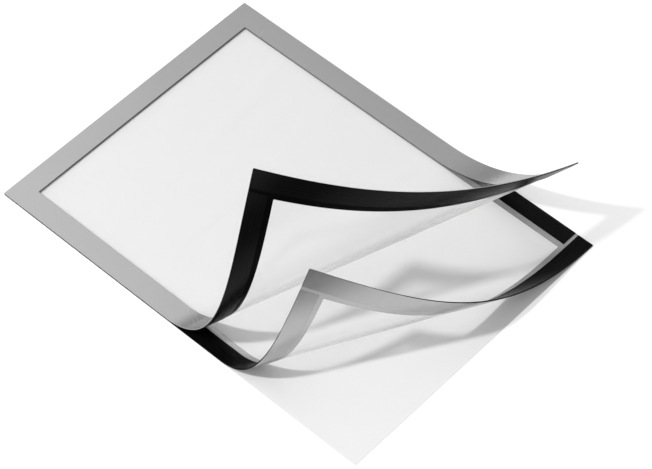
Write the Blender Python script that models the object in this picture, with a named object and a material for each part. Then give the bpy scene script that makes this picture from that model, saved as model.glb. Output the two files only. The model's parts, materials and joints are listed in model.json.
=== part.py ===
"""Magnetic document frame: a back frame on its release liner, under a front panel that folds back.

Metres, +Z up. The origin is the middle of the liner's underside. The short edge with the crease
is at +Y, the free short edge at -Y, and both lifted corners are on the -X, -Y side.
"""
from collections import namedtuple
from math import atan2, cos, pi, radians, sin, sqrt, tan

import bmesh
import bpy
from mathutils import Matrix, Vector

# Outline
SHEET_WIDTH = 0.236
SHEET_LENGTH = 0.323
BORDER_WIDTH = 0.0166
STRIP_WIDTH = 0.0127
STRIP_GAP = 0.0025

# Thickness of each layer, from the underside up
LINER_THICKNESS = 0.00015
ADHESIVE_THICKNESS = 0.0001
BACK_BORDER_THICKNESS = 0.0001
BACK_FILM_THICKNESS = 0.0002
BACK_MAGNET_THICKNESS = 0.0003
BOND_TAPE_THICKNESS = 0.0001
FRONT_MAGNET_THICKNESS = 0.0003
BACKING_THICKNESS = 0.0001
FRONT_FILM_THICKNESS = 0.0002
FRONT_BORDER_THICKNESS = 0.0001

# Clearances: between two layers, and between the two sides of the crease
LAYER_GAP = 0.00005
CREASE_GAP = 0.0003

# Curl of the front panel. Its fold lines meet at a point past the left edge, the first one slopes
# down to the right, and the sheet turns less from fold to fold towards the lifted corner.
FRONT_FOCUS_PAST_EDGE = 0.117
FRONT_FOCUS_FROM_FREE_EDGE = 0.189
FRONT_FIRST_FOLD = radians(10.0)
FRONT_TURN = radians(146.4)
FRONT_TAPER = 0.68
FRONT_FOLDS = 20

# Curl of the back frame, which lies nearer the free edge
BACK_FOCUS_PAST_EDGE = 0.222
BACK_FOCUS_FROM_FREE_EDGE = 0.228
BACK_FIRST_FOLD = radians(26.1)
BACK_TURN = radians(118.8)
BACK_TAPER = 0.0
BACK_FOLDS = 16

# A vertex this near to a fold line lies on it
ON_LINE = 1e-7

# Colours as linear RGB
SILVER = (0.40, 0.40, 0.41)
GREY = (0.30, 0.30, 0.31)
BLACK = (0.008, 0.008, 0.009)
CLEAR = (0.93, 0.95, 0.96)
PAPER = (0.80, 0.81, 0.82)
GLUE = (0.55, 0.55, 0.53)

Rect = namedtuple("Rect", "left right bottom top")
Curl = namedtuple("Curl", "focus first_fold turn taper folds")
Finish = namedtuple("Finish", "colour roughness metallic alpha")

LEFT = -SHEET_WIDTH / 2
RIGHT = SHEET_WIDTH / 2
FREE_EDGE = -SHEET_LENGTH / 2
HINGE_EDGE = SHEET_LENGTH / 2
WINDOW = Rect(LEFT + BORDER_WIDTH, RIGHT - BORDER_WIDTH, FREE_EDGE + BORDER_WIDTH, HINGE_EDGE - BORDER_WIDTH)

# The crease runs along the gap between the hinge edge's strip and the ends of the long strips
CREASE_Y = HINGE_EDGE - (STRIP_WIDTH + BORDER_WIDTH) / 2


def layer_on(below, thickness):
    """Underside and top of a layer that lies on the layer below."""
    underside = below[1] + LAYER_GAP
    return (underside, underside + thickness)


LINER = (0.0, LINER_THICKNESS)
ADHESIVE = layer_on(LINER, ADHESIVE_THICKNESS)
BACK_BORDER = layer_on(ADHESIVE, BACK_BORDER_THICKNESS)
BACK_FILM = layer_on(BACK_BORDER, BACK_FILM_THICKNESS)
BACK_MAGNET = layer_on(BACK_FILM, BACK_MAGNET_THICKNESS)
BOND_TAPE = layer_on(BACK_MAGNET, BOND_TAPE_THICKNESS)
FRONT_MAGNET = layer_on(BOND_TAPE, FRONT_MAGNET_THICKNESS)
BACKING = layer_on(FRONT_MAGNET, BACKING_THICKNESS)
FRONT_FILM = layer_on(BACKING, FRONT_FILM_THICKNESS)
FRONT_BORDER = layer_on(FRONT_FILM, FRONT_BORDER_THICKNESS)

# The back frame peels about the liner's top edge, and the front panel folds about its own front face
PEEL_AXIS = Vector((0.0, HINGE_EDGE, LINER[1]))
CREASE_AXIS = Vector((0.0, CREASE_Y, FRONT_BORDER[1]))

FRONT_CURL = Curl(
    Vector((LEFT - FRONT_FOCUS_PAST_EDGE, FREE_EDGE + FRONT_FOCUS_FROM_FREE_EDGE, sum(FRONT_FILM) / 2)),
    FRONT_FIRST_FOLD, FRONT_TURN, FRONT_TAPER, FRONT_FOLDS)
BACK_CURL = Curl(
    Vector((LEFT - BACK_FOCUS_PAST_EDGE, FREE_EDGE + BACK_FOCUS_FROM_FREE_EDGE, sum(BACK_FILM) / 2)),
    BACK_FIRST_FOLD, BACK_TURN, BACK_TAPER, BACK_FOLDS)


def clear_scene():
    for obj in list(bpy.data.objects):
        bpy.data.objects.remove(obj, do_unlink=True)


def make_material(name, finish):
    material = bpy.data.materials.new(name)
    material.use_nodes = True
    shader = material.node_tree.nodes["Principled BSDF"]
    shader.inputs["Base Color"].default_value = (*finish.colour, 1.0)
    shader.inputs["Roughness"].default_value = finish.roughness
    shader.inputs["Metallic"].default_value = finish.metallic
    shader.inputs["Alpha"].default_value = finish.alpha
    return material


def make_pivot(name, place, parent=None):
    """Empty on a joint's axis, given its place in the world."""
    pivot = bpy.data.objects.new(name, None)
    pivot.empty_display_size = BORDER_WIDTH
    pivot.parent = parent
    pivot.location = place - (parent.location if parent else Vector())
    bpy.context.collection.objects.link(pivot)
    return pivot


def world_place(pivot):
    """Place of a pivot in the world; none of them is turned."""
    place = Vector()
    while pivot:
        place += pivot.location
        pivot = pivot.parent
    return place


def fold_angles(curl):
    """Angle of each fold line below +X. All folds turn alike, so a wider space means less curl."""
    to_corner = Vector((LEFT, FREE_EDGE)) - curl.focus.xy
    fan = atan2(-to_corner.y, to_corner.x) - curl.first_fold
    angles = []
    for index in range(curl.folds):
        turned = (index + 0.5) / curl.folds
        if curl.taper == 1.0:
            reached = turned
        else:
            reached = (1 - sqrt(1 - (1 - curl.taper ** 2) * turned)) / (1 - curl.taper)
        angles.append(curl.first_fold + fan * reached)
    return angles


def along(angle):
    return Vector((cos(angle), -sin(angle), 0.0))


def across(angle):
    """Direction square to a fold line, towards the lifted corner."""
    return Vector((-sin(angle), -cos(angle), 0.0))


def flat_cells(outline, hole):
    """The outline's cells: one rectangle, or the eight around a hole."""
    if hole is None:
        return [outline]
    columns = (outline.left, hole.left, hole.right, outline.right)
    rows = (outline.bottom, hole.bottom, hole.top, outline.top)
    cells = []
    for column in range(3):
        for row in range(3):
            if (column, row) != (1, 1):
                cells.append(Rect(columns[column], columns[column + 1], rows[row], rows[row + 1]))
    return cells


def flat_sheet(outline, hole, layer):
    """Closed flat sheet between the layer's two heights, as a face on each side and its rim."""
    mesh = bmesh.new()
    corners = {}
    for cell in flat_cells(outline, hole):
        ring = []
        for point in ((cell.left, cell.bottom), (cell.right, cell.bottom), (cell.right, cell.top), (cell.left, cell.top)):
            if point not in corners:
                corners[point] = mesh.verts.new((*point, layer[0]))
            ring.append(corners[point])
        mesh.faces.new(ring)
    return mesh


def cut_along_folds(mesh, curl):
    for angle in fold_angles(curl):
        everything = mesh.verts[:] + mesh.edges[:] + mesh.faces[:]
        bmesh.ops.bisect_plane(mesh, geom=everything, dist=ON_LINE, plane_co=curl.focus, plane_no=across(angle))


def thicken(mesh, layer):
    raised = bmesh.ops.extrude_face_region(mesh, geom=mesh.faces[:])
    raised_verts = [item for item in raised["geom"] if isinstance(item, bmesh.types.BMVert)]
    bmesh.ops.translate(mesh, verts=raised_verts, vec=(0.0, 0.0, layer[1] - layer[0]))


def fold_up(mesh, curl):
    """Fold the flat sheet along every fold line, so that each strip between two lines stays flat.

    A point on a line, above or below the folded height, moves to the mitre of the two strips.
    """
    angles = fold_angles(curl)
    turn = curl.turn / curl.folds
    placed = [Matrix.Identity(4)]
    to_focus = Matrix.Translation(curl.focus)
    for angle in angles:
        fold = to_focus @ Matrix.Rotation(-turn, 4, along(angle)) @ to_focus.inverted()
        placed.append(placed[-1] @ fold)
    for vert in mesh.verts:
        from_focus = vert.co - curl.focus
        folds_passed = 0
        for angle in angles:
            beyond = from_focus.dot(across(angle))
            if beyond > 2 * ON_LINE:
                folds_passed += 1
            elif beyond > -2 * ON_LINE:
                vert.co -= across(angle) * from_focus.z * tan(turn / 2)
        vert.co = placed[folds_passed] @ vert.co


def add_sheet(name, outline, layer, finish, pivot=None, curl=None, hole=None):
    mesh = flat_sheet(outline, hole, layer)
    if curl:
        cut_along_folds(mesh, curl)
    thicken(mesh, layer)
    if curl:
        fold_up(mesh, curl)
    bmesh.ops.recalc_face_normals(mesh, faces=mesh.faces[:])
    bmesh.ops.translate(mesh, verts=mesh.verts[:], vec=-world_place(pivot))
    data = bpy.data.meshes.new(name)
    mesh.to_mesh(data)
    mesh.free()
    data.materials.append(make_material(name, finish))
    piece = bpy.data.objects.new(name, data)
    piece.parent = pivot
    bpy.context.collection.objects.link(piece)
    return piece


def strip_outlines():
    """The four strips flush with the outer edge: the short ones full width, the long ones between.

    The long ones end at the window's line by the crease, and nearer to the strip at the free edge.
    """
    bottom = FREE_EDGE + STRIP_WIDTH + STRIP_GAP
    return {
        "hinge": Rect(LEFT, RIGHT, HINGE_EDGE - STRIP_WIDTH, HINGE_EDGE),
        "free": Rect(LEFT, RIGHT, FREE_EDGE, FREE_EDGE + STRIP_WIDTH),
        "left": Rect(LEFT, LEFT + STRIP_WIDTH, bottom, WINDOW.top),
        "right": Rect(RIGHT - STRIP_WIDTH, RIGHT, bottom, WINDOW.top),
    }


def build_liner():
    add_sheet("release_liner", Rect(LEFT, RIGHT, FREE_EDGE, HINGE_EDGE), LINER, Finish(PAPER, 0.45, 0.0, 1.0))


def build_back_frame(pivot):
    full = Rect(LEFT, RIGHT, FREE_EDGE, HINGE_EDGE)
    add_sheet("back_border", full, BACK_BORDER, Finish(GREY, 0.5, 0.3, 1.0), pivot, BACK_CURL, WINDOW)
    add_sheet("back_film", full, BACK_FILM, Finish(CLEAR, 0.12, 0.0, 0.3), pivot, BACK_CURL)
    for side, outline in strip_outlines().items():
        add_sheet("adhesive_strip_" + side, outline, ADHESIVE, Finish(GLUE, 0.35, 0.0, 1.0), pivot, BACK_CURL)
        add_sheet("back_magnet_" + side, outline, BACK_MAGNET, Finish(BLACK, 0.45, 0.0, 1.0), pivot, BACK_CURL)


def build_hinge_band(pivot):
    """The front panel's short edge, taped down on the back frame on one side of the crease."""
    strip = strip_outlines()["hinge"]
    band = Rect(LEFT, RIGHT, CREASE_Y + CREASE_GAP / 2, HINGE_EDGE)
    add_sheet("hinge_bond_tape", strip, BOND_TAPE, Finish(GLUE, 0.35, 0.0, 1.0), pivot)
    add_sheet("front_magnet_hinge", strip, FRONT_MAGNET, Finish(BLACK, 0.45, 0.0, 1.0), pivot)
    add_sheet("front_backing_hinge_band", band, BACKING, Finish(BLACK, 0.4, 0.0, 1.0), pivot)
    add_sheet("front_film_hinge_band", band, FRONT_FILM, Finish(CLEAR, 0.1, 0.0, 0.3), pivot)
    add_sheet("front_border_hinge_band", band, FRONT_BORDER, Finish(SILVER, 0.42, 0.6, 1.0), pivot)


def build_front_panel(pivot):
    panel = Rect(LEFT, RIGHT, FREE_EDGE, CREASE_Y - CREASE_GAP / 2)
    add_sheet("front_backing", panel, BACKING, Finish(BLACK, 0.4, 0.0, 1.0), pivot, FRONT_CURL, WINDOW)
    add_sheet("front_film", panel, FRONT_FILM, Finish(CLEAR, 0.1, 0.0, 0.3), pivot, FRONT_CURL)
    add_sheet("front_border", panel, FRONT_BORDER, Finish(SILVER, 0.42, 0.6, 1.0), pivot, FRONT_CURL, WINDOW)
    outlines = strip_outlines()
    for side in ("left", "right", "free"):
        magnet = Finish(BLACK, 0.45, 0.0, 1.0)
        add_sheet("front_magnet_" + side, outlines[side], FRONT_MAGNET, magnet, pivot, FRONT_CURL)


def main():
    clear_scene()
    build_liner()
    peel_pivot = make_pivot("back_frame_peel_axis", PEEL_AXIS)
    build_back_frame(peel_pivot)
    build_hinge_band(peel_pivot)
    build_front_panel(make_pivot("front_panel_crease_axis", CREASE_AXIS, peel_pivot))


main()
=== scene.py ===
"""Looks of the magnetic document frame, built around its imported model.

Metres, +Z up. The two sheets that curl, and the layers on them, are made again with fine folds and
soft edges. The release liner and the strips that lie flat keep their solids and get a finish.
"""
import json
from collections import namedtuple
from math import atan2, cos, pi, radians, sin, sqrt, tan

import bmesh
import bpy
from mathutils import Matrix, Vector


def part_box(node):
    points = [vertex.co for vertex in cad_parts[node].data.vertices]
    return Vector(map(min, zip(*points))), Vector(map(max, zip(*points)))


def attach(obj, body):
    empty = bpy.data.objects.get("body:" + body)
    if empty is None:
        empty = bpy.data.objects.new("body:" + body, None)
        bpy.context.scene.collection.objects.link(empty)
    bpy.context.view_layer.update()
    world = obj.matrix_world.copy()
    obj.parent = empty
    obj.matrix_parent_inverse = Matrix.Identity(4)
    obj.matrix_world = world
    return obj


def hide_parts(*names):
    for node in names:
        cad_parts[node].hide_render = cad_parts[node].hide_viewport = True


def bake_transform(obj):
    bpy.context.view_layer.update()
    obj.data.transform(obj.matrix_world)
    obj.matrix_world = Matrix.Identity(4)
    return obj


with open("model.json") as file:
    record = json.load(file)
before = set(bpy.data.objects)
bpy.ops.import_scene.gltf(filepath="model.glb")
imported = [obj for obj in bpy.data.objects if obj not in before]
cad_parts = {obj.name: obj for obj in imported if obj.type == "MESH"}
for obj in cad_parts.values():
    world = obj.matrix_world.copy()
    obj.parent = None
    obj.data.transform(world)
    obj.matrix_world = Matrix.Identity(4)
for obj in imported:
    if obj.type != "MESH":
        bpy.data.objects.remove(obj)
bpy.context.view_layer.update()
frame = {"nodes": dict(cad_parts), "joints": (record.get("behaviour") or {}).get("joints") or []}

Rect = namedtuple("Rect", "left right bottom top")
Curl = namedtuple("Curl", "focus first_fold turn taper folds")


def inset(rect, distance):
    """Rectangle whose sides lie this far inside another's."""
    return Rect(
        rect.left + distance, rect.right - distance, rect.bottom + distance, rect.top - distance)


def layer_of(node):
    """Underside and top of a flat node."""
    low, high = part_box(node)
    return (low.z, high.z)


def curl_of(layer, past_edge, from_free_edge, first_fold, turn, taper, folds):
    """Curl of a sheet about the middle of its film."""
    focus = Vector((LEFT - past_edge, FREE_EDGE + from_free_edge, sum(layer) / 2))
    return Curl(focus, radians(first_fold), radians(turn), taper, folds)


def neutral(level):
    """Grey without a tint, as a colour socket takes it."""
    return (level, level, level, 1.0)


# Outline, read from the liner and from the right strip, whose upper end is at the window's line
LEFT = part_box("release_liner")[0].x
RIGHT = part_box("release_liner")[1].x
FREE_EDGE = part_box("release_liner")[0].y
HINGE_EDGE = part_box("release_liner")[1].y
STRIP_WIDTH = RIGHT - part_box("back_magnet_right")[0].x
BORDER_WIDTH = HINGE_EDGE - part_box("back_magnet_right")[1].y
LONG_STRIP_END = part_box("back_magnet_right")[0].y
FULL = Rect(LEFT, RIGHT, FREE_EDGE, HINGE_EDGE)
WINDOW = inset(FULL, BORDER_WIDTH)

# Layers, read from the nodes that lie flat along the crease edge
LINER = layer_of("release_liner")
ADHESIVE = layer_of("adhesive_strip_hinge")
BACK_MAGNET = layer_of("back_magnet_hinge")
FRONT_MAGNET = layer_of("front_magnet_hinge")
BACKING = layer_of("front_backing_hinge_band")
FRONT_FILM = layer_of("front_film_hinge_band")
FRONT_BORDER = layer_of("front_border_hinge_band")
LAYER_GAP = ADHESIVE[0] - LINER[1]
BACK_FILM = (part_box("back_film")[0].z, BACK_MAGNET[0] - LAYER_GAP)
BACK_BORDER = (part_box("back_border")[0].z, BACK_FILM[0] - LAYER_GAP)

# Crease: the front panel's own layers bend over this width
CREASE_Y = next(
    joint["pos_m"][1] for joint in frame["joints"] if joint["name"] == "front_panel_fold")
CREASE_HALF_WIDTH = 0.0016
CREASE_ROWS = 10

# Curls as the solids have them, with finer folds. All fold lines meet in one point, which is given
# by how far it lies past the left edge and from the free edge. Angles are in degrees.
FRONT_CURL = curl_of(
    FRONT_FILM, past_edge=0.117, from_free_edge=0.189, first_fold=10.0, turn=146.4, taper=0.68,
    folds=120)
BACK_CURL = curl_of(
    BACK_FILM, past_edge=0.222, from_free_edge=0.228, first_fold=26.1, turn=118.8, taper=0.0,
    folds=96)

# Edges: the strips are chamfered, and stop short of the sheet's rim by a hair
STRIP_CHAMFER = 0.00004
STRIP_INSET = 0.00004
FILM_CHAMFER = 0.00003
CORNER_RADIUS = 0.0005
CORNER_STEPS = 4
SHARP_ANGLE = radians(35.0)
ON_LINE = 1e-7

# Material slots of a curled piece
FACE_SLOT = 0
RIM_SLOT = 1

# Name of the map that holds each sheet's flat coordinates, in metres
FLAT_MAP = "Flat"

# Sockets of a Mix node that mixes colours
MIX_FIRST = 6
MIX_SECOND = 7
MIX_RESULT = 2

# Silver print: its tint where it is seen along its surface
SILVER_GRAZING = neutral(0.60)

# Magnet strips: patches between two blacks, and features in a metre along and across the lines
RUBBER_DARK = (0.0014, 0.0015, 0.0016, 1.0)
RUBBER_LIGHT = (0.0032, 0.0033, 0.0035, 1.0)
LINES_ALONG = 12.0
LINES_ACROSS = 700.0

# Clear films: painted reflection streaks, so many in one radian round the point where the fold
# lines meet, the tint where they are seen along their surface, and how many film faces a ray may
# pass
FILM_IOR = 1.45
FILM_REFLECTION_STREAKS = 26.0
FILM_GRAZING = neutral(0.86)
FILM_PASSES = 32

# Camera, fitted to the photograph
CAMERA_TARGET = Vector((0.0046, -0.0230, 0.0))
CAMERA_DISTANCE = 1.8457
CAMERA_AZIMUTH = radians(-46.722)
CAMERA_ELEVATION = radians(52.458)
CAMERA_ROLL = radians(-0.682)
CAMERA_LENS = 151.745
CAMERA_NEAREST = 0.05
CAMERA_FARTHEST = 100.0

# Key light: its direction comes from the shadows of both lifted corners
KEY_TRAVEL = Vector((0.66, -0.43, -1.0)).normalized()
KEY_DISTANCE = 6.0
KEY_SIZE = 0.44
KEY_POWER = 205.0

# Surroundings: a large soft source over the left and far side, dim light elsewhere, and less of it
# low down on the camera's side and along the horizon
WORLD_SOURCE = Vector((-0.80, 0.60, 0.60))
WORLD_SOURCE_EDGE = 0.335
WORLD_SOURCE_CORE = 0.475
WORLD_DIM = 0.29
WORLD_BRIGHT = 1.05
CAMERA_SIDE = Vector((-0.47, -0.71, -0.52))
CAMERA_SIDE_EDGE = 0.15
CAMERA_SIDE_CORE = 0.55
CAMERA_SIDE_DIM = 0.12
HORIZON = 0.12
HORIZON_TOP = sin(radians(26.0))

# Floor: it lies just below the liner, and grows darker away from its middle
FLOOR_SIZE = 14.0
FLOOR_DROP = 0.0001
FLOOR_COLOUR = neutral(0.62)
FLOOR_GLOW = 0.48
FLOOR_MIDDLE = Vector((0.14, 0.18, 0.0))
FLOOR_FADE_START = 0.34
FLOOR_FADE_END = 1.05
FLOOR_FADE = 0.60


def wire(tree, source, node, socket):
    """Sets a socket to a value, or feeds it from another node's output."""
    if isinstance(source, bpy.types.NodeSocket):
        tree.links.new(source, node.inputs[socket])
    else:
        node.inputs[socket].default_value = source


def new_material(name):
    """A material with its node tree and its shader."""
    material = bpy.data.materials.new(name)
    material.use_nodes = True
    return material, material.node_tree, material.node_tree.nodes["Principled BSDF"]


def sheet_place(tree, flat_map=True):
    """Place on the sheet, in metres: from its flat map, or from a CAD solid's own place."""
    if flat_map:
        node = tree.nodes.new("ShaderNodeUVMap")
        node.uv_map = FLAT_MAP
        return node.outputs["UV"]
    return tree.nodes.new("ShaderNodeTexCoord").outputs["Object"]


def vectors(tree, operation, first, second, output="Vector"):
    """Arithmetic with two vectors."""
    node = tree.nodes.new("ShaderNodeVectorMath")
    node.operation = operation
    wire(tree, first, node, 0)
    wire(tree, second, node, 1)
    return node.outputs[output]


def numbers(tree, operation, first, second):
    """Arithmetic with two numbers."""
    node = tree.nodes.new("ShaderNodeMath")
    node.operation = operation
    wire(tree, first, node, 0)
    wire(tree, second, node, 1)
    return node.outputs["Value"]


def noise(tree, place, scale, detail=2.0, roughness=0.5):
    """Noise from 0 to 1 with so many features in a metre."""
    node = tree.nodes.new("ShaderNodeTexNoise")
    wire(tree, place, node, "Vector")
    wire(tree, scale, node, "Scale")
    wire(tree, detail, node, "Detail")
    wire(tree, roughness, node, "Roughness")
    return node.outputs["Fac"]


def spread(tree, value, low, high, start=0.25, end=0.75, kind="LINEAR"):
    """Maps a value between start and end to low and high."""
    node = tree.nodes.new("ShaderNodeMapRange")
    node.interpolation_type = kind
    wire(tree, value, node, "Value")
    wire(tree, start, node, "From Min")
    wire(tree, end, node, "From Max")
    wire(tree, low, node, "To Min")
    wire(tree, high, node, "To Max")
    return node.outputs["Result"]


def mixed(tree, factor, first, second):
    """Colour between two colours."""
    node = tree.nodes.new("ShaderNodeMix")
    node.data_type = "RGBA"
    wire(tree, factor, node, "Factor")
    wire(tree, first, node, MIX_FIRST)
    wire(tree, second, node, MIX_SECOND)
    return node.outputs[MIX_RESULT]


def bump(tree, height, depth, normal=None):
    """Normal for a relief of so many metres."""
    node = tree.nodes.new("ShaderNodeBump")
    wire(tree, 1.0, node, "Strength")
    wire(tree, depth, node, "Distance")
    wire(tree, height, node, "Height")
    if normal:
        wire(tree, normal, node, "Normal")
    return node.outputs["Normal"]


def silver_finish(name):
    """Satin silver print: a fine grain, faint clouds and slow waves in the film below it."""
    material, tree, shader = new_material(name)
    place = sheet_place(tree)
    grain = noise(tree, place, scale=1900.0, roughness=0.65)
    cloud = noise(tree, place, scale=26.0, detail=3.0)
    wave = noise(tree, place, scale=9.0, detail=1.0)
    lustre = mixed(tree, spread(tree, grain, 0.0, 1.0), neutral(0.53), neutral(0.63))
    colour = mixed(tree, spread(tree, cloud, 0.0, 0.35), lustre, neutral(0.54))
    wire(tree, colour, shader, "Base Color")
    wire(tree, 0.80, shader, "Metallic")
    wire(tree, SILVER_GRAZING, shader, "Specular Tint")
    wire(tree, spread(tree, grain, 0.24, 0.30), shader, "Roughness")
    fine = bump(tree, grain, depth=0.000012)
    wire(tree, bump(tree, wave, depth=0.0006, normal=fine), shader, "Normal")
    return material


def black_film_finish(name):
    """Black backing film, glossier and deeper than the strips."""
    material, tree, shader = new_material(name)
    grain = noise(tree, sheet_place(tree), scale=1400.0)
    wire(tree, mixed(tree, grain, neutral(0.0012), neutral(0.0026)), shader, "Base Color")
    wire(tree, spread(tree, grain, 0.30, 0.38), shader, "Roughness")
    wire(tree, 0.05, shader, "Specular IOR Level")
    wire(tree, bump(tree, grain, depth=0.000006), shader, "Normal")
    return material


def rubber_finish(name, along_x, flat_map=True):
    """Flexible magnet strip: black, with the fine lines of its extrusion along its length."""
    material, tree, shader = new_material(name)
    place = sheet_place(tree, flat_map)
    grain = noise(tree, place, scale=1600.0, detail=3.0, roughness=0.6)
    in_x, in_y = (LINES_ALONG, LINES_ACROSS) if along_x else (LINES_ACROSS, LINES_ALONG)
    lines = noise(tree, vectors(tree, "MULTIPLY", place, (in_x, in_y, 1.0)), scale=1.0)
    patches = noise(tree, place, scale=60.0, detail=3.0)
    tone = mixed(tree, spread(tree, patches, 0.0, 1.0), RUBBER_DARK, RUBBER_LIGHT)
    wire(tree, tone, shader, "Base Color")
    uneven = numbers(tree, "ADD", grain, lines)
    wire(tree, spread(tree, uneven, 0.24, 0.34, start=0.7, end=1.3), shader, "Roughness")
    wire(tree, 0.14, shader, "Specular IOR Level")
    ribs = bump(tree, lines, depth=0.000016)
    wire(tree, bump(tree, grain, depth=0.00001, normal=ribs), shader, "Normal")
    return material


def grey_finish(name):
    """Grey-silver film round the back window."""
    material, tree, shader = new_material(name)
    place = sheet_place(tree)
    grain = noise(tree, place, scale=1700.0, roughness=0.6)
    cloud = noise(tree, place, scale=30.0)
    lustre = mixed(tree, spread(tree, grain, 0.0, 1.0), neutral(0.52), neutral(0.58))
    colour = mixed(tree, spread(tree, cloud, 0.0, 0.3), lustre, neutral(0.51))
    wire(tree, colour, shader, "Base Color")
    wire(tree, 0.52, shader, "Metallic")
    wire(tree, spread(tree, grain, 0.22, 0.28), shader, "Roughness")
    wire(tree, bump(tree, grain, depth=0.00001), shader, "Normal")
    return material


def adhesive_finish(name, flat_map=True):
    """Double-sided tape: grey, a little glossy, with faint patches where it has wetted out."""
    material, tree, shader = new_material(name)
    place = sheet_place(tree, flat_map)
    patches = noise(tree, place, scale=220.0, detail=4.0, roughness=0.6)
    grain = noise(tree, place, scale=1500.0)
    tone = mixed(tree, spread(tree, patches, 0.0, 1.0), neutral(0.43), neutral(0.47))
    wire(tree, tone, shader, "Base Color")
    wire(tree, spread(tree, patches, 0.20, 0.26), shader, "Roughness")
    wire(tree, 0.86, shader, "Metallic")
    wire(tree, bump(tree, grain, depth=0.000008), shader, "Normal")
    return material


def liner_finish(name):
    """White siliconised paper: smooth, with a faint formation and a soft shine."""
    material, tree, shader = new_material(name)
    place = sheet_place(tree, flat_map=False)
    fibre = noise(tree, place, scale=900.0, detail=4.0, roughness=0.6)
    cloud = noise(tree, place, scale=70.0, detail=3.0)
    paper = mixed(tree, spread(tree, fibre, 0.0, 1.0), neutral(0.82), neutral(0.85))
    colour = mixed(tree, spread(tree, cloud, 0.0, 0.4), paper, neutral(0.815))
    wire(tree, colour, shader, "Base Color")
    wire(tree, spread(tree, cloud, 0.34, 0.44), shader, "Roughness")
    wire(tree, 0.35, shader, "Specular IOR Level")
    wire(tree, bump(tree, fibre, depth=0.00001), shader, "Normal")
    return material


def ruling_noise(tree, place, focus, scale):
    """Noise that runs along the lines that the sheet bends about, which meet in one point."""
    from_focus = vectors(tree, "SUBTRACT", place, (focus.x, focus.y, 0.0))
    split = tree.nodes.new("ShaderNodeSeparateXYZ")
    wire(tree, from_focus, split, "Vector")
    angle = numbers(tree, "ARCTAN2", split.outputs["Y"], split.outputs["X"])
    row = tree.nodes.new("ShaderNodeCombineXYZ")
    wire(tree, angle, row, "X")
    return noise(tree, row.outputs["Vector"], scale)


def film_finish(name, curl):
    """Clear film: it shows by what both its faces mirror.

    That is hardly anything face on, and a lot along its surface. Painted reflection streaks make
    it mirror more or less along the lines that it bends about.
    """
    material, tree, shader = new_material(name)
    place = sheet_place(tree)
    wave = noise(tree, place, scale=7.0, detail=1.0)
    haze = noise(tree, place, scale=420.0, detail=3.0)
    # Painted reflection streaks: how much the film mirrors goes up and down along its fold lines
    reflection_streaks = ruling_noise(tree, place, curl.focus, FILM_REFLECTION_STREAKS)
    leaving = tree.nodes.new("ShaderNodeNewGeometry").outputs["Backfacing"]
    fresnel = tree.nodes.new("ShaderNodeFresnel")
    ior = spread(tree, leaving, FILM_IOR, 1 / FILM_IOR, start=0.0, end=1.0)
    wire(tree, ior, fresnel, "IOR")
    streaky_reflection = spread(tree, reflection_streaks, 0.80, 1.10)
    mirrored = numbers(tree, "MULTIPLY", fresnel.outputs["Fac"], streaky_reflection)
    opacity = numbers(tree, "ADD", mirrored, spread(tree, haze, 0.002, 0.006))
    wire(tree, opacity, shader, "Alpha")
    wire(tree, mixed(tree, haze, neutral(0.94), neutral(0.98)), shader, "Base Color")
    wire(tree, 0.92, shader, "Metallic")
    wire(tree, FILM_GRAZING, shader, "Specular Tint")
    wire(tree, spread(tree, haze, 0.29, 0.31), shader, "Roughness")
    wire(tree, bump(tree, wave, depth=0.0006), shader, "Normal")
    return material


def rim_finish(name, dark, light, shine):
    """Cut edge of a sheet, with fine nicks."""
    material, tree, shader = new_material(name)
    nicks = noise(tree, sheet_place(tree), scale=2400.0)
    wire(tree, mixed(tree, nicks, dark, light), shader, "Base Color")
    wire(tree, spread(tree, nicks, 0.30, 0.45), shader, "Roughness")
    wire(tree, shine, shader, "Specular IOR Level")
    return material


def rounded_ring(rect, radius):
    """Corners of a rectangle as small arcs, counter-clockwise from the lower left."""
    centres = (
        (rect.left + radius, rect.bottom + radius, pi),
        (rect.right - radius, rect.bottom + radius, 1.5 * pi),
        (rect.right - radius, rect.top - radius, 0.0),
        (rect.left + radius, rect.top - radius, 0.5 * pi),
    )
    points = []
    for x, y, start in centres:
        for step in range(CORNER_STEPS + 1):
            angle = start + 0.5 * pi * step / CORNER_STEPS
            points.append((x + radius * cos(angle), y + radius * sin(angle)))
    return points


def ring_levels(layer, chamfer):
    """Height and inset of each ring of a slab, from the underside up."""
    bottom, top = layer
    return ((bottom, chamfer), (bottom + chamfer, 0.0), (top - chamfer, 0.0), (top, chamfer))


def add_rings(mesh, rect, radius, layer, chamfer, outwards):
    """Rings of vertices round a slab or its hole, one for each level."""
    rings = []
    for height, distance in ring_levels(layer, chamfer):
        level = inset(rect, distance * outwards)
        ring = [mesh.verts.new((x, y, height)) for x, y in rounded_ring(level, radius)]
        rings.append(ring)
    return rings


def bridge(mesh, lower, upper, flip, slot):
    """Faces between two rings of as many vertices."""
    count = len(lower)
    for index in range(count):
        after = (index + 1) % count
        corners = [lower[index], lower[after], upper[after], upper[index]]
        face = mesh.faces.new(corners[::-1] if flip else corners)
        face.material_index = slot


def flat_slab(outline, hole, layer, chamfer, radius):
    """Closed flat sheet with chamfered edges and small corner arcs, with a window if asked."""
    mesh = bmesh.new()
    outer = add_rings(mesh, outline, radius, layer, chamfer, outwards=1.0)
    for lower, upper in zip(outer, outer[1:]):
        bridge(mesh, lower, upper, flip=False, slot=RIM_SLOT)
    if hole is None:
        mesh.faces.new(outer[0][::-1])
        mesh.faces.new(outer[-1])
        return mesh
    inner = add_rings(mesh, hole, radius, layer, chamfer, outwards=-1.0)
    for lower, upper in zip(inner, inner[1:]):
        bridge(mesh, lower, upper, flip=True, slot=RIM_SLOT)
    bridge(mesh, outer[0], inner[0], flip=True, slot=FACE_SLOT)
    bridge(mesh, outer[-1], inner[-1], flip=False, slot=FACE_SLOT)
    return mesh


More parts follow.
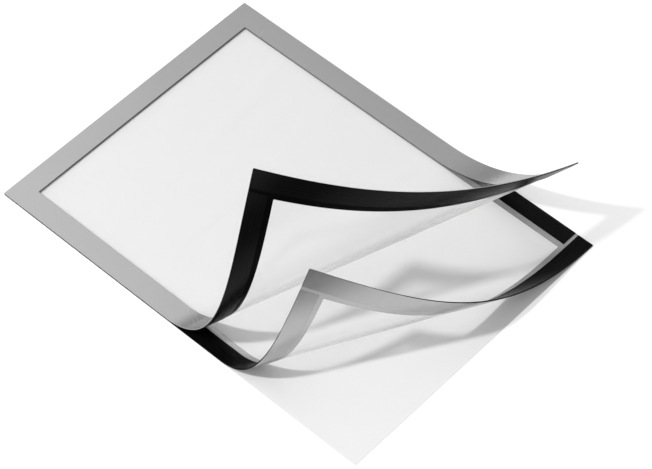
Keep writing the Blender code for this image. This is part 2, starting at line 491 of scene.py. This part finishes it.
def cut(mesh, point, normal):
    """Cuts every face that a plane crosses, and keeps both sides."""
    everything = mesh.verts[:] + mesh.edges[:] + mesh.faces[:]
    bmesh.ops.bisect_plane(
        mesh, geom=everything, dist=ON_LINE, plane_co=point, plane_no=normal)


def fold_angle(curl, turned):
    """Angle below +X of the line where the sheet has turned by this share of its curl."""
    to_corner = Vector((LEFT, FREE_EDGE)) - curl.focus.xy
    fan = atan2(-to_corner.y, to_corner.x) - curl.first_fold
    reached = (1 - sqrt(1 - (1 - curl.taper ** 2) * turned)) / (1 - curl.taper)
    return curl.first_fold + fan * reached


def fold_angles(curl):
    """Angles of all fold lines, each in the middle of its share of the curl."""
    return [fold_angle(curl, (index + 0.5) / curl.folds) for index in range(curl.folds)]


def along(angle):
    """Direction of a fold line."""
    return Vector((cos(angle), -sin(angle), 0.0))


def across(angle):
    """Direction square to a fold line, towards the lifted corner."""
    return Vector((-sin(angle), -cos(angle), 0.0))


def cut_along_folds(mesh, curl):
    """Cuts along each fold line, and along the line before which the sheet lies flat."""
    for angle in [curl.first_fold] + fold_angles(curl):
        cut(mesh, curl.focus, across(angle))


def fold_up(mesh, curl):
    """Folds the flat sheet along every line.

    A point on a line that is off the folded height is set over into the mitre.
    """
    angles = fold_angles(curl)
    turn = curl.turn / curl.folds
    placed = [Matrix.Identity(4)]
    to_focus = Matrix.Translation(curl.focus)
    for angle in angles:
        fold = to_focus @ Matrix.Rotation(-turn, 4, along(angle)) @ to_focus.inverted()
        placed.append(placed[-1] @ fold)
    for vert in mesh.verts:
        from_focus = vert.co - curl.focus
        folds_passed = 0
        for angle in angles:
            beyond = from_focus.dot(across(angle))
            if beyond > 2 * ON_LINE:
                folds_passed += 1
            elif beyond > -2 * ON_LINE:
                vert.co -= across(angle) * from_focus.z * tan(turn / 2)
        vert.co = placed[folds_passed] @ vert.co


def cut_crease(mesh):
    """Rows of cuts where the front panel bends on its crease."""
    for row in range(CREASE_ROWS + 1):
        y = CREASE_Y + CREASE_HALF_WIDTH * (2 * row / CREASE_ROWS - 1)
        cut(mesh, Vector((0.0, y, 0.0)), Vector((0.0, 1.0, 0.0)))


def write_flat_map(data, flat):
    """Keeps each vertex's place on the flat sheet as a map for the materials."""
    layer = data.uv_layers.new(name=FLAT_MAP)
    for loop in data.loops:
        layer.data[loop.index].uv = flat[loop.vertex_index]


def add_sheet(
        name, outline, layer, curl, finish, rim, hole=None, chamfer=FILM_CHAMFER, creased=False):
    """One layer of a curled sheet, made flat, cut along its folds and then folded up."""
    mesh = flat_slab(outline, hole, layer, chamfer, CORNER_RADIUS)
    cut_along_folds(mesh, curl)
    if creased:
        cut_crease(mesh)
    flat = [vert.co.xy for vert in mesh.verts]
    fold_up(mesh, curl)
    bmesh.ops.recalc_face_normals(mesh, faces=mesh.faces[:])
    data = bpy.data.meshes.new(name)
    mesh.to_mesh(data)
    mesh.free()
    write_flat_map(data, flat)
    data.shade_smooth()
    data.set_sharp_from_angle(angle=SHARP_ANGLE)
    data.materials.append(finish)
    data.materials.append(rim)
    piece = bpy.data.objects.new(name, data)
    bpy.context.scene.collection.objects.link(piece)
    return piece


def strip_outlines():
    """Strips of both sheets: the free one full width, the long ones from near it to the crease."""
    edge = inset(FULL, STRIP_INSET)
    return {
        "left": Rect(edge.left, LEFT + STRIP_WIDTH, LONG_STRIP_END, WINDOW.top),
        "right": Rect(RIGHT - STRIP_WIDTH, edge.right, LONG_STRIP_END, WINDOW.top),
        "free": Rect(edge.left, edge.right, edge.bottom, FREE_EDGE + STRIP_WIDTH),
    }


def add_strip(name, node, side, layer, curl, body, finish, rim):
    """One strip of a curled sheet, in place of its CAD node."""
    outline = strip_outlines()[side]
    piece = add_sheet(name, outline, layer, curl, finish, rim, chamfer=STRIP_CHAMFER)
    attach(piece, body)
    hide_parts(node)


def build_back_frame(looks):
    """The curled layers of the back frame."""
    dark = looks["dark_rim"]
    border = add_sheet(
        "back_grey_frame", FULL, BACK_BORDER, BACK_CURL, looks["grey"], dark, WINDOW)
    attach(border, "back_frame")
    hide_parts("back_border")
    film = add_sheet("back_clear_sheet", FULL, BACK_FILM, BACK_CURL, looks["back_film"], dark)
    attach(film, "back_frame")
    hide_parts("back_film")
    for side, rubber in (("left", looks["rubber_y"]), ("free", looks["rubber_x"])):
        add_strip(
            "back_strip_" + side, "back_magnet_" + side, side, BACK_MAGNET, BACK_CURL,
            "back_frame", rubber, rubber)
        add_strip(
            "glue_strip_" + side, "adhesive_strip_" + side, side, ADHESIVE, BACK_CURL,
            "back_frame", looks["adhesive"], dark)


def across_crease(piece, *nodes):
    """A layer of the front panel that goes on over the crease to the bonded band."""
    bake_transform(piece)
    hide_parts(*nodes)


def build_front_panel(looks):
    """The front panel's layers, with the bonded band on the other side of the crease."""
    black = looks["black"]
    pale = looks["rim"]
    backing = add_sheet(
        "front_black_frame", inset(FULL, STRIP_INSET), BACKING, FRONT_CURL, black, black, WINDOW,
        creased=True)
    across_crease(backing, "front_backing", "front_backing_hinge_band")
    film = add_sheet(
        "front_clear_sheet", FULL, FRONT_FILM, FRONT_CURL, looks["front_film"], pale,
        creased=True)
    across_crease(film, "front_film", "front_film_hinge_band")
    silver = add_sheet(
        "front_silver_frame", FULL, FRONT_BORDER, FRONT_CURL, looks["silver"], pale, WINDOW,
        creased=True)
    across_crease(silver, "front_border", "front_border_hinge_band")
    along_x, along_y = looks["rubber_x"], looks["rubber_y"]
    for side, rubber in (("left", along_y), ("right", along_y), ("free", along_x)):
        add_strip(
            "front_strip_" + side, "front_magnet_" + side, side, FRONT_MAGNET, FRONT_CURL,
            "front_panel", rubber, rubber)


def give_finish(node, material):
    """A CAD node that lies flat keeps its solid and gets a finish."""
    solid = frame["nodes"][node]
    if not solid.material_slots:
        solid.data.materials.append(material)
    for slot in solid.material_slots:
        slot.material = material


def finish_flat_nodes():
    """Finishes for the liner, and for the strips and the tape that lie flat."""
    give_finish("release_liner", liner_finish("liner_paper_flat"))
    tape = adhesive_finish("adhesive_flat", flat_map=False)
    for node in ("adhesive_strip_hinge", "adhesive_strip_right", "hinge_bond_tape"):
        give_finish(node, tape)
    rubber_x = rubber_finish("magnet_rubber_flat_x", along_x=True, flat_map=False)
    for node in ("back_magnet_hinge", "front_magnet_hinge"):
        give_finish(node, rubber_x)
    rubber_y = rubber_finish("magnet_rubber_flat_y", along_x=False, flat_map=False)
    give_finish("back_magnet_right", rubber_y)


def seen_directly(tree):
    """1 for camera, glossy and transmission rays, 0 for the light that falls on the object."""
    path = tree.nodes.new("ShaderNodeLightPath")
    either = path.outputs["Is Camera Ray"]
    for name in ("Is Glossy Ray", "Is Transmission Ray"):
        either = numbers(tree, "MAXIMUM", either, path.outputs[name])
    return either


def floor_material():
    """Matt floor that takes shadows, with a glow that only the eye sees, so it shows as white."""
    material = bpy.data.materials.new("floor")
    material.use_nodes = True
    tree = material.node_tree
    tree.nodes.clear()
    position = tree.nodes.new("ShaderNodeNewGeometry").outputs["Position"]
    distance = vectors(tree, "DISTANCE", position, FLOOR_MIDDLE, "Value")
    fade = spread(
        tree, distance, 1.0, FLOOR_FADE, FLOOR_FADE_START, FLOOR_FADE_END, "SMOOTHSTEP")
    matt = tree.nodes.new("ShaderNodeBsdfDiffuse")
    wire(tree, mixed(tree, fade, neutral(0.0), FLOOR_COLOUR), matt, "Color")
    glow = tree.nodes.new("ShaderNodeEmission")
    seen_glow = numbers(tree, "MULTIPLY", seen_directly(tree), FLOOR_GLOW)
    wire(tree, numbers(tree, "MULTIPLY", seen_glow, fade), glow, "Strength")
    both = tree.nodes.new("ShaderNodeAddShader")
    wire(tree, matt.outputs["BSDF"], both, 0)
    wire(tree, glow.outputs["Emission"], both, 1)
    output = tree.nodes.new("ShaderNodeOutputMaterial")
    wire(tree, both.outputs["Shader"], output, "Surface")
    return material


def add_floor():
    """Plain floor, which is not part of the object."""
    half = FLOOR_SIZE / 2
    outline = ((-half, -half), (half, -half), (half, half), (-half, half))
    corners = [(x, y, -FLOOR_DROP) for x, y in outline]
    data = bpy.data.meshes.new("floor")
    data.from_pydata(corners, [], [(0, 1, 2, 3)])
    data.materials.append(floor_material())
    floor = bpy.data.objects.new("floor", data)
    bpy.context.scene.collection.objects.link(floor)


def add_world():
    """Soft studio surroundings, white at different strengths."""
    world = bpy.data.worlds.new("studio")
    bpy.context.scene.world = world
    world.use_nodes = True
    tree = world.node_tree
    direction = tree.nodes.new("ShaderNodeTexCoord").outputs["Generated"]
    towards_source = vectors(tree, "DOT_PRODUCT", direction, WORLD_SOURCE, "Value")
    source = spread(
        tree, towards_source, WORLD_DIM, WORLD_BRIGHT, WORLD_SOURCE_EDGE, WORLD_SOURCE_CORE,
        "SMOOTHSTEP")
    towards_camera = vectors(tree, "DOT_PRODUCT", direction, CAMERA_SIDE, "Value")
    studio = spread(
        tree, towards_camera, source, CAMERA_SIDE_DIM, CAMERA_SIDE_EDGE, CAMERA_SIDE_CORE,
        "SMOOTHSTEP")
    height = tree.nodes.new("ShaderNodeSeparateXYZ")
    wire(tree, direction, height, "Vector")
    strength = spread(tree, height.outputs["Z"], HORIZON, studio, 0.0, HORIZON_TOP, "SMOOTHSTEP")
    background = tree.nodes["Background"]
    wire(tree, neutral(1.0), background, "Color")
    wire(tree, strength, background, "Strength")


def add_key_light():
    """Round lamp, far away, so that all shadows fall the same way."""
    data = bpy.data.lights.new("key", "AREA")
    data.shape = "DISK"
    data.size = KEY_SIZE
    data.energy = KEY_POWER
    key = bpy.data.objects.new("key", data)
    key.location = -KEY_TRAVEL * KEY_DISTANCE
    key.rotation_mode = "QUATERNION"
    key.rotation_quaternion = KEY_TRAVEL.to_track_quat("-Z", "Y")
    bpy.context.scene.collection.objects.link(key)


def add_camera():
    """Camera at the photograph's place."""
    data = bpy.data.cameras.new("camera")
    data.lens = CAMERA_LENS
    data.clip_start = CAMERA_NEAREST
    data.clip_end = CAMERA_FARTHEST
    camera = bpy.data.objects.new("camera", data)
    back = Vector((
        sin(CAMERA_AZIMUTH) * cos(CAMERA_ELEVATION),
        -cos(CAMERA_AZIMUTH) * cos(CAMERA_ELEVATION),
        sin(CAMERA_ELEVATION),
    ))
    camera.location = CAMERA_TARGET + back * CAMERA_DISTANCE
    camera.rotation_mode = "QUATERNION"
    level = (-back).to_track_quat("-Z", "Y")
    camera.rotation_quaternion = level @ Matrix.Rotation(CAMERA_ROLL, 3, "Z").to_quaternion()
    bpy.context.scene.collection.objects.link(camera)
    bpy.context.scene.camera = camera


def make_looks():
    """Materials of the curled pieces. The front sheet's cut edge is pale, the back one's dark."""
    return {
        "silver": silver_finish("silver_border"),
        "grey": grey_finish("grey_border"),
        "front_film": film_finish("clear_film_front", FRONT_CURL),
        "back_film": film_finish("clear_film_back", BACK_CURL),
        "rim": rim_finish("film_cut_edge", neutral(0.50), neutral(0.66), shine=0.4),
        "dark_rim": rim_finish("back_sheet_cut_edge", neutral(0.003), neutral(0.008), shine=0.0),
        "black": black_film_finish("black_backing"),
        "rubber_x": rubber_finish("magnet_rubber_along_x", along_x=True),
        "rubber_y": rubber_finish("magnet_rubber_along_y", along_x=False),
        "adhesive": adhesive_finish("adhesive"),
    }


def main():
    """Sets up the studio, then makes the pieces."""
    bpy.context.scene.view_settings.view_transform = "Standard"
    bpy.context.scene.cycles.transparent_max_bounces = FILM_PASSES
    add_camera()
    add_world()
    add_key_light()
    add_floor()
    looks = make_looks()
    build_back_frame(looks)
    build_front_panel(looks)
    finish_flat_nodes()


main()
